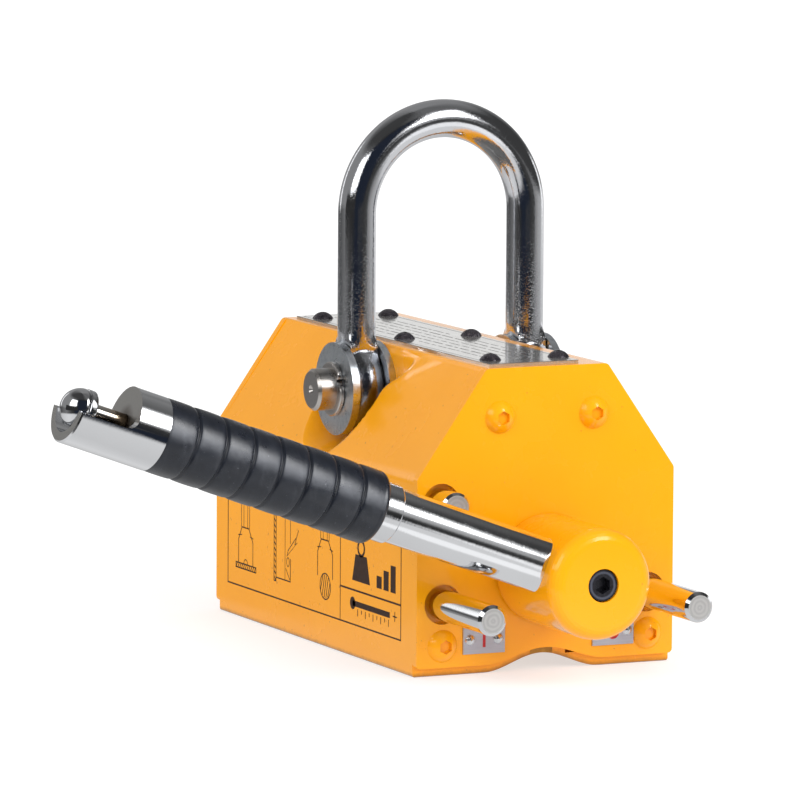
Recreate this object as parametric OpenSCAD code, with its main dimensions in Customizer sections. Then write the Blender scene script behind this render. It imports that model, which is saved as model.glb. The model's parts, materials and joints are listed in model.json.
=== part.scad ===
// Hand-operated permanent lifting magnet: a yellow two-pole body with a
// turning magnet rotor, a lever handle with a spring safety lock, and a
// swinging chromed shackle.
// Frame: millimetres, +Z up. X runs along the body, +X is the handle end.
// Z = 0 is the working face of the pole shoes, X = Y = 0 is its centre.
// The angle the handle is drawn at is the resting, magnet-on position.

/* [Body] */
// Length of the pole shoes between the two end plates
body_len = 156; // [150:1:166]
// Width across the pole shoes
body_w = 92; // [90:1:98]
// Height at which the upright sides turn into the slanted faces
eave_z = 64.4; // [63:0.2:67]
// Height of the flat top
top_z = 99.2; // [98.6:0.2:102]
// Width of the flat top
top_w = 42.4; // [42:0.2:44]
// Thickness of the sheet-steel end plates
plate_t = 3; // [2.5:0.5:4]
// Height of the end plates' lower edge above the working face
plate_z = 3; // [2:0.5:4]
// Depth of the rounded V groove between the pole faces
groove_h = 5.4; // [4.6:0.2:6]
// Half width of that groove
groove_half = 21; // [18:1:23]
// Gap between the two poles under the rotor
low_gap = 8; // [6:1:10]
// Gap between the two poles above the rotor, filled by the fixed magnets
high_gap = 16; // [12:1:17]

/* [Rotor] */
// Height of the rotor axis above the working face
rotor_z = 33.4; // [33:0.2:34]
// Radius of the bore between the poles
bore_r = 24; // [23.5:0.5:24.5]
// Radial air gap between the rotor and that bore
air_gap = 0.3; // [0.3:0.05:0.5]
// Thickness of the turning magnet block
rotor_mag_t = 14; // [10:1:16]
// Radius of the two journals
journal_r = 12; // [11:0.5:12]
// Radial running clearance of the journals
journal_fit = 0.05; // [0.03:0.01:0.1]

/* [Handle] */
// Angle of the resting handle above the horizontal
handle_deg = 20; // [18:1:21]
// Distance of the handle's axis in front of the end plate
handle_off = 26; // [26:0.5:27]
// Length of the hub in front of the end plate
hub_len = 41.9; // [41:0.1:43]
// Radius of the hub
hub_r = 18; // [17:0.5:18.5]
// Outer radius of the handle tube
tube_r = 9; // [8.6:0.2:9]
// Bore radius of the handle tube
tube_bore = 6; // [6:0.1:6.2]
// Distance from the rotor axis at which the grip sleeve starts
sleeve_s = 71.9; // [70:0.1:74]
// Distance at which the rubber grip starts
grip_s = 78.1; // [77:0.1:80]
// Distance at which the rubber grip ends
grip_e = 158; // [156:1:159]
// Distance of the handle's open end from the rotor axis
handle_end = 188; // [187:1:190]
// Outer radius of the rubber grip and of the sleeve's head
grip_r = 12; // [11.6:0.1:12.4]
// Rings cut into the grip
grip_rings = 7; // [5:1:9]
// Length of the thumb notch at the open end
notch_len = 19.1; // [18.5:0.1:19.5]

/* [Lock] */
// Radius of the lock rod
rod_r = 3; // [2.6:0.1:3]
// Radius of the thumb knob
knob_r = 6.5; // [6:0.1:6.6]
// Distance of the knob's centre from the rotor axis
knob_s = 184.4; // [183.5:0.1:184.6]
// Travel of the lock towards the hub
lock_travel = 11; // [10:0.5:11]
// Turns of the lock spring
spring_turns = 9; // [7:1:10]

/* [Pins] */
// Radius of the stop and safety pins
stop_r = 5; // [4.5:0.5:5]
// Radius of the clearance holes for them in the end plate
stop_hole_r = 6.5; // [6:0.5:6.5]
// Sideways distance of the stop pins from the middle
stop_y = 36.7; // [36.5:0.1:37]
// Height of the stop pins
stop_z = 23.6; // [23:0.1:24]
// Reach of the stop pins in front of the end plate
stop_len = 37.5; // [37:0.5:39]
// Sideways distance of the safety pin from the middle
safe_y = 37.5; // [37:0.1:38]
// Height of the safety pin
safe_z = 56.3; // [56:0.1:57]
// Reach of the safety pin in front of the end plate
safe_len = 11.7; // [11:0.1:12]

/* [Shackle] */
// Diameter of the shackle bar
bar_d = 12.7; // [12:0.1:13]
// Half the distance between the centres of its two legs
leg_y = 30.8; // [30.8:0.1:31]
// Height of the shackle's swing axis
pivot_z = 84.5; // [84:0.1:85]
// Height of the top of the bow
bow_top = 179.3; // [176:0.1:184]
// Radius of the shackle pin
spin_r = 7; // [6.6:0.1:7]
// Overall length of the shackle pin
spin_len = 94.4; // [94:0.2:96]
// Radial running clearance of the shackle on its pin
spin_fit = 0.08; // [0.05:0.01:0.1]
// Thickness of the flattened eyes
eye_t = 10.4; // [10:0.1:10.4]
// Radius of the eyes
eye_r = 13.6; // [13:0.1:14]
// Distance of the recess floors from the middle
floor_y = 23; // [23:0.1:23.1]
// Outer radius of the washers
washer_r = 15.4; // [15:0.1:15.6]

/* [Plates and fasteners] */
// Sideways distance of the upper end-plate screws from the middle
up_y = 16.8; // [16:0.1:17]
// Height of the upper end-plate screws
up_z = 83.3; // [82:0.1:84]
// Sideways distance of the lower end-plate screws from the middle
dn_y = 36.8; // [36.5:0.1:37]
// Height of the lower end-plate screws
dn_z = 10.1; // [10:0.1:10.2]
// Length of the name plate on the top
name_len = 152; // [146:1:154]
// Thickness of the name plate
name_t = 0.9; // [0.6:0.1:1.2]
// Spacing of the name plate's screws along the body
name_pitch = 66; // [60:1:66]

/* [Hidden] */
$fn = 64;

eps = 0.01;
half_len = body_len / 2;             // face of the poles, back of an end plate
face_x = half_len + plate_t;         // outer face of an end plate
half_w = body_w / 2;
handle_x = face_x + handle_off;      // plane of the handle's axis
slope_y = half_w - top_w / 2;        // sideways run of a slanted face
rotor_r = bore_r - air_gap;
rotor_half = half_len - 16;          // end of the rotor poles
flange_t = 8;
bearing_t = 7.5;
hub_back = face_x + 0.8;             // back face of the hub
hub_front = face_x + hub_len;
shaft_r = 8;                         // rotor shaft inside the hub
shaft_end = face_x + 16.5;
bow_z = bow_top - bar_d / 2 - leg_y; // centre of the bow
mag_z0 = rotor_z + bore_r + 1.6;     // bottom of the fixed magnets
mag_z1 = pivot_z - spin_r - 3.5;     // their top, below the shackle pin
nut_gap = 0.2;                       // side play of the shackle's eyes
wash_in0 = floor_y;
wash_in1 = leg_y - eye_t / 2 - nut_gap;
wash_out0 = leg_y + eye_t / 2 + nut_gap;
wash_out1 = wash_out0 + 2.6;
clip_t = 1.8;
key_s0 = 34;                         // lock key body along the handle
key_s1 = 51;
nose_s0 = 39.6;
nose_s1 = 47.2;
nose_x = safe_len + 0.5;             // nose tip, in front of the end plate
guide_s0 = 104;
guide_s1 = 110;
collar_s0 = 146;
collar_s1 = 149;
inner_s = handle_end - notch_len;    // inner face of the thumb notch
name_y0 = -18.5;
name_y1 = 13.5;
row_near = -13.3;                    // name plate screws, label side
row_far = 11.2;

yellow = [0.98, 0.66, 0.10];
steel = [0.72, 0.73, 0.75];
chrome = [0.85, 0.86, 0.88];
black = [0.12, 0.12, 0.13];
brass = [0.80, 0.63, 0.30];
zinc = [0.66, 0.69, 0.72];

// ---- helpers ----
// a 2-D outline in (Y, Z) run along X
module along_x(x0, x1) translate([x0, 0, 0]) rotate([90, 0, 90]) linear_extrude(x1 - x0) children();
// a cylinder along X
module xcyl(r, x0, x1, y, z) translate([x0, y, z]) rotate([0, 90, 0]) cylinder(r = r, h = x1 - x0);
// a chamfer-ended pin along X, chamfered at its high end
module xpin(r, x0, x1, y, z, c) translate([x0, y, z]) rotate([0, 90, 0]) union() {
  cylinder(r = r, h = x1 - x0 - c);
  translate([0, 0, x1 - x0 - c]) cylinder(r1 = r, r2 = r - c, h = c);
}
// a cylinder along +Y from y0 to y1
module ycyl(r, y0, y1, z) translate([0, y0, z]) rotate([-90, 0, 0]) cylinder(r = r, h = y1 - y0);
// a button head on the plane Z = 0, domed upwards
module dome(r, h) intersection() {
  translate([0, 0, h - (r * r + h * h) / (2 * h)]) sphere(r = (r * r + h * h) / (2 * h));
  translate([0, 0, h]) cube([4 * r, 4 * r, 2 * h], center = true);
}
// the handle's own frame: +Z runs out along the handle, +Y is its upper side
module in_handle() translate([handle_x, 0, rotor_z]) rotate([90 - handle_deg, 0, 0]) children();

function groove_z(y) = abs(y) < groove_half ? groove_h * 0.5 * (1 + cos(180 * y / groove_half)) : 0;
function arch_z(y) = abs(y) < 22 ? plate_z + 4.6 * 0.5 * (1 + cos(180 * y / 22)) : plate_z;
function arc(cx, cy, r, a0, a1, n) = [for (i = [0 : n]) [cx + r * cos(a0 + (a1 - a0) * i / n), cy + r * sin(a0 + (a1 - a0) * i / n)]];

// ---- body ----
module body_outline() polygon(concat(
  [[-half_w, 0]],
  [for (y = [-groove_half : groove_half / 14 : groove_half]) [y, groove_z(y)]],
  [[half_w, 0], [half_w, eave_z], [top_w / 2, top_z], [-top_w / 2, top_z], [-half_w, eave_z]]));

// recess round one eye of the shackle, on the -Y side
module recess() {
  translate([0, -floor_y, pivot_z]) rotate([90, 0, 0]) cylinder(r1 = 18, r2 = 21, h = 26);
  translate([0, -floor_y, 0]) rotate([90, 0, 0]) linear_extrude(26)
    polygon([[-17.9, pivot_z], [17.9, pivot_z], [24.5, 92], [33, 101], [36, 110], [-36, 110], [-33, 101], [-24.5, 92]]);
}

module screw_cuts() {
  for (s = [-1, 1]) for (p = [[up_y, up_z], [-up_y, up_z], [dn_y, dn_z], [-dn_y, dn_z]])
    xcyl(3, s > 0 ? half_len - 14 : -half_len - eps, s > 0 ? half_len + eps : -half_len + 14, p[0], p[1]);
}

module body_blank() difference() {
  along_x(-half_len, half_len) body_outline();
  xcyl(bore_r, -half_len - 1, half_len + 1, 0, rotor_z);
  translate([-half_len - 1, -low_gap / 2, -1]) cube([body_len + 2, low_gap, rotor_z + 1]);
  translate([-half_len - 1, -high_gap / 2, rotor_z]) cube([body_len + 2, high_gap, top_z]);
  screw_cuts();
  ycyl(spin_r, -half_w - 1, half_w + 1, pivot_z);
  for (x = [-1, 0, 1]) for (y = [row_near, row_far])
    translate([x * name_pitch, y, top_z - 5.6]) cylinder(r = 1.6, h = 10);
  xcyl(stop_r, half_len - 20, half_len + 1, -stop_y, stop_z);
  xcyl(stop_r, half_len - 20, half_len + 1, stop_y, stop_z);
  xcyl(stop_r, half_len - 16, half_len + 1, -safe_y, safe_z);
}

module left_pole_shoe() color(yellow) difference() {
  intersection() { body_blank(); translate([-200, -100, -1]) cube([400, 100, 200]); }
  recess();
}

module right_pole_shoe() color(yellow) difference() {
  intersection() { body_blank(); translate([-200, 0, -1]) cube([400, 100, 200]); }
  mirror([0, 1, 0]) recess();
  // relief at the inner edge of the pole, under the end plate's arch
  translate([half_len - 5, 8.6, 4.8]) cube([6, 3.6, 1.5]);
}

module lower_pole_spacer() color(brass) difference() {
  intersection() {
    along_x(-half_len, half_len) body_outline();
    translate([-half_len, -low_gap / 2, 0]) cube([body_len, low_gap, rotor_z]);
  }
  xcyl(bore_r, -half_len - 1, half_len + 1, 0, rotor_z);
}

module upper_pole_spacer() color(brass) difference() {
  translate([-half_len, -high_gap / 2, rotor_z + 12]) cube([body_len, high_gap, mag_z0 - rotor_z - 12]);
  xcyl(bore_r, -half_len - 1, half_len + 1, 0, rotor_z);
}

module fixed_magnets() color(steel)
  for (i = [0 : 3]) translate([-half_len + 1 + i * (body_len - 2) / 4 + 0.25, -high_gap / 2, mag_z0])
    cube([(body_len - 2) / 4 - 0.5, high_gap, mag_z1 - mag_z0]);

module shackle_block() color(zinc) difference() {
  translate([-half_len, -high_gap / 2, mag_z1]) cube([body_len, high_gap, top_z - mag_z1]);
  ycyl(spin_r, -half_w, half_w, pivot_z);
}

// ---- end plates ----
module plate_outline() polygon(concat(
  arc(half_w - 1.5, plate_z + 1.5, 1.5, -90, 0, 4),
  arc(half_w - 2, eave_z - 0.6, 2, 0, 35, 3),
  arc(top_w / 2 - 0.6, top_z - 2, 2, 35, 90, 4),
  arc(-top_w / 2 + 0.6, top_z - 2, 2, 90, 145, 4),
  arc(-half_w + 2, eave_z - 0.6, 2, 145, 180, 3),
  arc(-half_w + 1.5, plate_z + 1.5, 1.5, 180, 270, 4),
  [for (y = [-22 : 2 : 22]) [y, arch_z(y)]]));

module front_end_plate() color(yellow) difference() {
  along_x(half_len, face_x) plate_outline();
  xcyl(journal_r + 0.5, half_len - 1, face_x + 1, 0, rotor_z);
  for (p = [[up_y, up_z], [-up_y, up_z], [dn_y, dn_z], [-dn_y, dn_z]]) xcyl(3, half_len - 1, face_x + 1, p[0], p[1]);
  for (p = [[-stop_y, stop_z], [stop_y, stop_z], [-safe_y, safe_z]]) xcyl(stop_hole_r, half_len - 1, face_x + 1, p[0], p[1]);
  for (y = [-27.2, -17.2, 19.2, 29.2]) xcyl(1, face_x - 2, face_x + 1, y, 11.6);
}

module rear_end_plate() color(yellow) difference() {
  along_x(-face_x, -half_len) plate_outline();
  for (p = [[up_y, up_z], [-up_y, up_z], [dn_y, dn_z], [-dn_y, dn_z]]) xcyl(3, -face_x - 1, -half_len + 1, p[0], p[1]);
}

module end_screw() union() {
  difference() {
    dome(5.3, 3.3);
    translate([0, 0, 1.5]) cylinder(r = 4 / sqrt(3), h = 4, $fn = 6);
  }
  translate([0, 0, -plate_t - 12]) cylinder(r = 3, h = plate_t + 12);
}
module end_plate_screws() color(yellow) for (s = [-1, 1])
  for (p = [[up_y, up_z], [-up_y, up_z], [dn_y, dn_z], [-dn_y, dn_z]])
    translate([s * face_x, p[0], p[1]]) rotate([0, s * 90, 0]) end_screw();

// ---- bearings ----
module bearing() difference() {
  cylinder(r = bore_r, h = bearing_t);
  translate([0, 0, -1]) cylinder(r = journal_r + journal_fit, h = bearing_t + 2);
}
module front_bearing() color(brass) translate([half_len - bearing_t, 0, rotor_z]) rotate([0, 90, 0]) bearing();
module rear_bearing() color(brass) translate([-half_len, 0, rotor_z]) rotate([0, 90, 0]) bearing();

// ---- pins and plates ----
module left_stop_pin() color(chrome) xpin(stop_r, half_len - 20, face_x + stop_len, -stop_y, stop_z, 1);
module right_stop_pin() color(chrome) xpin(stop_r, half_len - 20, face_x + stop_len, stop_y, stop_z, 1);
module safety_pin() color(chrome) xpin(stop_r, half_len - 16, face_x + safe_len, -safe_y, safe_z, 0.8);

module name_plate() color([0.86, 0.87, 0.88]) difference() {
  translate([-name_len / 2, name_y0, top_z]) cube([name_len, name_y1 - name_y0, name_t]);
  for (x = [-1, 0, 1]) for (y = [row_near, row_far]) translate([x * name_pitch, y, top_z - 1]) cylinder(r = 1.6, h = 4);
}
module name_plate_screws() color(black) for (x = [-1, 0, 1]) for (y = [row_near, row_far])
  translate([x * name_pitch, y, top_z + name_t]) union() {
    difference() { dome(3.6, 2.2); translate([0, 0, 1.1]) cylinder(r = 2 / sqrt(3), h = 3, $fn = 6); }
    translate([0, 0, -name_t - 5.5]) cylinder(r = 1.6, h = name_t + 5.5);
  }

module marker(y) translate([face_x, y - 7.4, 7]) difference() {
  cube([0.6, 14.8, 8.6]);
  for (d = [-5, 5]) translate([-1, 7.4 + d, 4.6]) rotate([0, 90, 0]) cylinder(r = 1, h = 3);
}
module on_marker_plate() color([0.80, 0.80, 0.84]) marker(-22.2);
module off_marker_plate() color([0.80, 0.80, 0.84]) marker(24.2);
module marker_rivets() color([0.75, 0.75, 0.78]) for (y = [-27.2, -17.2, 19.2, 29.2])
  translate([face_x + 0.6, y, 11.6]) rotate([0, 90, 0]) union() {
    dome(1.8, 1.1);
    translate([0, 0, -2.4]) cylinder(r = 1, h = 2.4);
  }

// ---- shackle pin, washers and clips ----
module shackle_pin() color(steel) difference() {
  union() {
    ycyl(spin_r, -spin_len / 2 + 1, spin_len / 2 - 1, pivot_z);
    translate([0, spin_len / 2 - 1, pivot_z]) rotate([-90, 0, 0]) cylinder(r1 = spin_r, r2 = spin_r - 0.9, h = 1);
    translate([0, -spin_len / 2 + 1, pivot_z]) rotate([90, 0, 0]) cylinder(r1 = spin_r, r2 = spin_r - 0.9, h = 1);
  }
  for (s = [-1, 1]) translate([0, s * (wash_out1 + clip_t / 2), pivot_z]) rotate([90, 0, 0]) translate([0, 0, -clip_t / 2])
    difference() { cylinder(r = spin_r + 1, h = clip_t); translate([0, 0, -1]) cylinder(r = spin_r - 1.2, h = clip_t + 2); }
  for (s = [-1, 1]) translate([0, s * (spin_len / 2 + eps), pivot_z]) rotate([s * 90, 0, 0]) cylinder(r1 = 1.6, r2 = 0.2, h = 1.6);
}
module washer(y0, y1) difference() { ycyl(washer_r, y0, y1, pivot_z); ycyl(spin_r, y0 - 1, y1 + 1, pivot_z); }
module inner_washers() color(zinc) { washer(-wash_in1, -wash_in0); washer(wash_in0, wash_in1); }
module outer_washers() color(zinc) { washer(-wash_out1, -wash_out0); washer(wash_out0, wash_out1); }
// an open retaining ring in the pin's groove, its mouth to the front
module clip() rotate([0, 0, 50]) rotate_extrude(angle = 305)
  translate([spin_r - 1.2, 0]) square([3.2, clip_t]);
module retaining_clips() color(zinc) for (m = [0, 1]) mirror([0, m, 0])
  translate([0, -wash_out1, pivot_z]) rotate([90, 0, 0]) clip();

// ---- rotor ----
module rotor_cyl(r) xcyl(r, -rotor_half, rotor_half, 0, rotor_z);
module flange_holes(d) for (a = [45, 135, 225, 315])
  xcyl(2.5, d > 0 ? rotor_half - 12 : -rotor_half - eps, d > 0 ? rotor_half + eps : -rotor_half + 12,
    18 * cos(a), rotor_z + 18 * sin(a));
module rotor_side(s) difference() {
  intersection() {
    rotor_cyl(rotor_r);
    translate([-rotor_half, s > 0 ? rotor_mag_t / 2 : -50, 0]) cube([2 * rotor_half, 50 - rotor_mag_t / 2, 100]);
  }
  flange_holes(1);
  flange_holes(-1);
}
module rotor_pole_left() color(steel) rotor_side(-1);
module rotor_pole_right() color(steel) rotor_side(1);
module rotor_magnet() color([0.5, 0.52, 0.56])
  translate([-rotor_half, -rotor_mag_t / 2, rotor_z - 17]) cube([2 * rotor_half, rotor_mag_t, 34]);
module rotor_spacers() color(brass) intersection() {
  rotor_cyl(rotor_r);
  for (s = [-1, 1]) translate([-rotor_half, -rotor_mag_t / 2, rotor_z + (s > 0 ? 17 : -37)]) cube([2 * rotor_half, rotor_mag_t, 20]);
}
module flange_drill(x0, x1, head0, head1) for (a = [45, 135, 225, 315]) {
  xcyl(2.5, x0, x1, 18 * cos(a), rotor_z + 18 * sin(a));
  xcyl(4.25, head0, head1, 18 * cos(a), rotor_z + 18 * sin(a));
}
module rotor_front_flange() color(steel) difference() {
  union() {
    xcyl(rotor_r, rotor_half, rotor_half + flange_t, 0, rotor_z);
    xcyl(journal_r, rotor_half + flange_t - 1, hub_back, 0, rotor_z);
    xcyl(shaft_r, hub_back - 1, shaft_end, 0, rotor_z);
  }
  flange_drill(rotor_half - 1, rotor_half + flange_t + 1, rotor_half + flange_t - 5, rotor_half + flange_t + 1);
  translate([hub_back + 1, -2.5, rotor_z + 5.5]) cube([14, 5, 10]);
  xcyl(3, shaft_end - 13, shaft_end + 1, 0, rotor_z);
}
module rotor_rear_flange() color(steel) difference() {
  union() {
    xcyl(rotor_r, -rotor_half - flange_t, -rotor_half, 0, rotor_z);
    xcyl(journal_r, -half_len + 0.5, -rotor_half - flange_t + 1, 0, rotor_z);
  }
  flange_drill(-rotor_half - flange_t - 1, -rotor_half + 1, -rotor_half - flange_t - 1, -rotor_half - flange_t + 5);
}
module flange_screw() difference() {
  union() {
    cylinder(r = 4.25, h = 4.8);
    translate([0, 0, -14]) cylinder(r = 2.5, h = 15);
  }
  translate([0, 0, 2]) cylinder(r = 4 / sqrt(3), h = 4, $fn = 6);
}
module rotor_flange_screws() color(black) for (s = [-1, 1]) for (a = [45, 135, 225, 315])
  translate([s * (rotor_half + flange_t - 5), 18 * cos(a), rotor_z + 18 * sin(a)]) rotate([0, s * 90, 0]) flange_screw();

// ---- handle ----
module hub_key() color(steel) translate([hub_back + 1, -2.5, rotor_z + 5.5]) cube([14, 5, 5]);

module handle_hub() color(yellow) difference() {
  translate([hub_back, 0, rotor_z]) rotate([0, 90, 0]) rotate_extrude()
    polygon(concat([[0, 0], [hub_r, 0]],
      arc(hub_r - 4.5, hub_front - hub_back - 4.5, 4.5, 0, 90, 6), [[0, hub_front - hub_back]]));
  xcyl(shaft_r, hub_back - 1, shaft_end, 0, rotor_z);
  xcyl(3.2, shaft_end - 1, hub_front + 1, 0, rotor_z);
  xcyl(5.4, hub_front - 6.6, hub_front + 1, 0, rotor_z);
  translate([hub_back + 1, -2.5, rotor_z + 5.5]) cube([14, 5, 5]);
  in_handle() translate([0, 0, 5.5]) cylinder(r = tube_r, h = 30);
}
module hub_screw() color(black) difference() {
  union() {
    xcyl(5, hub_front - 6.6, hub_front - 0.6, 0, rotor_z);
    xcyl(3, shaft_end - 12, hub_front - 6.5, 0, rotor_z);
  }
  translate([hub_front - 3.8, 0, rotor_z]) rotate([0, 90, 0]) cylinder(r = 5 / sqrt(3), h = 5, $fn = 6);
}

module handle_tube() color(chrome) in_handle() difference() {
  translate([0, 0, 5.5]) cylinder(r = tube_r, h = grip_e - 6 - 5.5);
  translate([0, 0, 12]) cylinder(r = tube_bore, h = grip_e);
  // slot for the lock key's nose, on the side of the end plate
  translate([-tube_r - 2, -3.3, nose_s0 - lock_travel - 0.4]) cube([tube_r + 2, 6.6, nose_s1 - nose_s0 + lock_travel + 0.8]);
}
module rod_guide() color(brass) in_handle() difference() {
  translate([0, 0, guide_s0]) cylinder(r = tube_bore, h = guide_s1 - guide_s0);
  translate([0, 0, guide_s0 - 1]) cylinder(r = rod_r + 0.08, h = guide_s1 - guide_s0 + 2);
}
module grip_sleeve() color(chrome) in_handle() difference() {
  rotate_extrude() polygon([
    [tube_r, sleeve_s], [tube_r + 0.3, sleeve_s], [tube_r + 0.7, sleeve_s + 0.5],
    [tube_r + 0.7, grip_e], [grip_r, grip_e], [grip_r, handle_end - 0.5], [grip_r - 0.5, handle_end],
    [grip_r - 3.3, handle_end], [grip_r - 3.3, inner_s], [rod_r + 0.08, inner_s], [rod_r + 0.08, grip_e - 6], [tube_r, grip_e - 6]]);
  // upper half cut away for the thumb, with a rounded inner end
  rotate([90, 0, 90]) translate([0, 0, -20]) linear_extrude(40) polygon(concat(
    [[-1.2, handle_end + 5], [-1.2, handle_end - 3], [-1.2, inner_s + 3.5]],
    [for (i = [1 : 6]) [-1.2 + 3.5 - 3.5 * cos(i * 15), inner_s + 3.5 - 3.5 * sin(i * 15)]],
    [[20, inner_s], [20, handle_end + 5]]));
}
ring_pitch = (grip_e - grip_s) / (grip_rings + 1);
module handle_grip() color([0.16, 0.17, 0.20]) in_handle() rotate_extrude() polygon(concat(
  [[tube_r + 0.7, grip_s], [grip_r - 1.6, grip_s], [grip_r - 0.7, grip_s + 0.4], [grip_r - 0.1, grip_s + 1.3], [grip_r, grip_s + 2.2]],
  [for (i = [1 : grip_rings]) for (p = [[0, -0.6], [-0.6, -0.35], [-0.6, 0.35], [0, 0.6]])
    [grip_r + p[0], grip_s + i * ring_pitch + p[1]]],
  [[grip_r, grip_e - 0.01], [tube_r + 0.7, grip_e - 0.01]]));

// ---- lock ----
module lock_rod() color(chrome) in_handle() union() {
  translate([0, 0, key_s1 - 8]) cylinder(r = rod_r, h = knob_s - 2 - key_s1 + 8);
  translate([0, 0, collar_s0]) cylinder(r = tube_bore - 0.4, h = collar_s1 - collar_s0);
}
module lock_knob() color(chrome) in_handle() difference() {
  rotate_extrude() polygon(concat(
    [[0, knob_s - 3.4], [knob_r - 0.6, knob_s - 3.4], [knob_r + 0.1, knob_s - 2.7], [knob_r + 0.1, knob_s - 0.5], [knob_r - 0.3, knob_s]],
    [for (i = [1 : 8]) [(knob_r - 0.3) * cos(i * 90 / 8), knob_s + (knob_r - 0.3) * sin(i * 90 / 8)]]));
  translate([0, 0, knob_s - 10]) cylinder(r = rod_r, h = 8);
}
module lock_key() color(steel) in_handle() difference() {
  union() {
    translate([0, 0, key_s0]) cylinder(r = tube_bore - 0.4, h = key_s1 - key_s0);
    translate([-(handle_off - nose_x), -3, nose_s0]) cube([handle_off - nose_x, 6, nose_s1 - nose_s0]);
  }
  translate([0, 0, key_s1 - 8]) cylinder(r = rod_r, h = 9);
}

// a helical wire of radius w, coil radius cr, from s0 to s1 along the handle
spring_w = 0.6;
spring_cr = 4.5;
spring_steps = spring_turns * 14;
function spring_pt(i, k) = let (t = i / spring_steps, a = 360 * spring_turns * t, b = 60 * k,
    rr = spring_cr + spring_w * cos(b))
  [rr * cos(a), rr * sin(a), guide_s1 + spring_w + 0.05 + (collar_s0 - guide_s1 - 2 * spring_w - 0.1) * t + spring_w * sin(b)];
module lock_spring() color([0.75, 0.76, 0.78]) in_handle() polyhedron(
  points = [for (i = [0 : spring_steps]) for (k = [0 : 5]) spring_pt(i, k)],
  faces = concat(
    [[0, 1, 2, 3, 4, 5]],
    [[for (k = [5 : -1 : 0]) spring_steps * 6 + k]],
    [for (i = [0 : spring_steps - 1]) for (k = [0 : 5]) [i * 6 + k, (i + 1) * 6 + k, i * 6 + (k + 1) % 6]],
    [for (i = [0 : spring_steps - 1]) for (k = [0 : 5]) [(i + 1) * 6 + k, (i + 1) * 6 + (k + 1) % 6, i * 6 + (k + 1) % 6]]),
  convexity = 10);

// ---- shackle ----
module shackle() color(chrome) difference() {
  union() {
    translate([0, 0, bow_z]) rotate([90, 0, 90]) rotate_extrude(angle = 180) translate([leg_y, 0]) circle(r = bar_d / 2);
    for (s = [-1, 1]) {
      translate([0, s * leg_y, pivot_z + 19.5]) cylinder(r = bar_d / 2, h = bow_z - pivot_z - 19.5);
      translate([0, s * leg_y, pivot_z + 16]) cylinder(r1 = eye_t / 2 - 0.2, r2 = bar_d / 2, h = 3.5);
      translate([0, s * leg_y, pivot_z + 8]) cylinder(r = eye_t / 2 - 0.2, h = 8);
      translate([0, s * leg_y, pivot_z]) rotate([90, 0, 0]) translate([0, 0, -eye_t / 2]) rotate_extrude()
        polygon([[0, 0], [eye_r - 1.6, 0], [eye_r - 0.5, 0.6], [eye_r, 2], [eye_r, eye_t - 2], [eye_r - 0.5, eye_t - 0.6], [eye_r - 1.6, eye_t], [0, eye_t]]);
    }
  }
  ycyl(spin_r + spin_fit, -half_w, half_w, pivot_z);
}

left_pole_shoe();
right_pole_shoe();
lower_pole_spacer();
upper_pole_spacer();
fixed_magnets();
shackle_block();
front_end_plate();
rear_end_plate();
front_bearing();
rear_bearing();
end_plate_screws();
left_stop_pin();
right_stop_pin();
safety_pin();
name_plate();
name_plate_screws();
on_marker_plate();
off_marker_plate();
marker_rivets();
shackle_pin();
inner_washers();
outer_washers();
retaining_clips();
rotor_pole_left();
rotor_pole_right();
rotor_magnet();
rotor_spacers();
rotor_front_flange();
rotor_rear_flange();
rotor_flange_screws();
hub_key();
handle_hub();
hub_screw();
handle_tube();
rod_guide();
grip_sleeve();
handle_grip();
lock_rod();
lock_knob();
lock_key();
lock_spring();
shackle();
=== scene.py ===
import bpy, bmesh, math, json, random
from mathutils import Vector, Matrix


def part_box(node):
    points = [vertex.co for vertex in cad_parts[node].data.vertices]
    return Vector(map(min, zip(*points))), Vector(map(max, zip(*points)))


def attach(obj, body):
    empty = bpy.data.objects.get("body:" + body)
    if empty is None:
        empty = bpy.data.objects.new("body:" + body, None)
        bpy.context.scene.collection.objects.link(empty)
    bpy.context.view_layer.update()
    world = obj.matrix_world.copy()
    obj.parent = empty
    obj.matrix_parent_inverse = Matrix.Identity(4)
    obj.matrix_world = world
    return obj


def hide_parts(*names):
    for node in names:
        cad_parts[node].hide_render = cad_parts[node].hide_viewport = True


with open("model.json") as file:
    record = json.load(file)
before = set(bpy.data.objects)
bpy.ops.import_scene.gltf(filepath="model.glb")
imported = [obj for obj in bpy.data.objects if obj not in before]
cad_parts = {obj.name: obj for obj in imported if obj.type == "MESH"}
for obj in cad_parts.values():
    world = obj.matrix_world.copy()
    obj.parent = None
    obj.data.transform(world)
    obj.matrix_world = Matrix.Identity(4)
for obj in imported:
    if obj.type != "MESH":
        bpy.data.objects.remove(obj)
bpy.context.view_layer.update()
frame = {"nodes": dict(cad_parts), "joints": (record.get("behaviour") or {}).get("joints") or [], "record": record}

# The permanent lifting magnet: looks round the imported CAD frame.
# Pieces are drawn in millimetres and scaled to metres when they are made.
NODES = frame["nodes"]
RECORD = frame["record"]
SC = bpy.context.scene
COL = SC.collection
MM = 0.001
BODY, ROTOR, LOCK, SHACKLE = "body", "rotor_and_handle", "safety_lock", "shackle"
random.seed(7)


# ---- places, from the frame
def box(node):
    """Lowest and highest corner of a CAD node, mm."""
    lo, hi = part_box(node)
    return Vector(lo) / MM, Vector(hi) / MM


def joint(name):
    return next(j for j in frame["joints"] if j["name"] == name)


def reach(node, origin, axis):
    """First and last distance along an axis, and the largest distance from it, of a CAD node."""
    far = [Vector(v.co) / MM - origin for v in NODES[node].data.vertices]
    along = [p.dot(axis) for p in far]
    return min(along), max(along), max((p - axis * p.dot(axis)).length for p in far)


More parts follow.
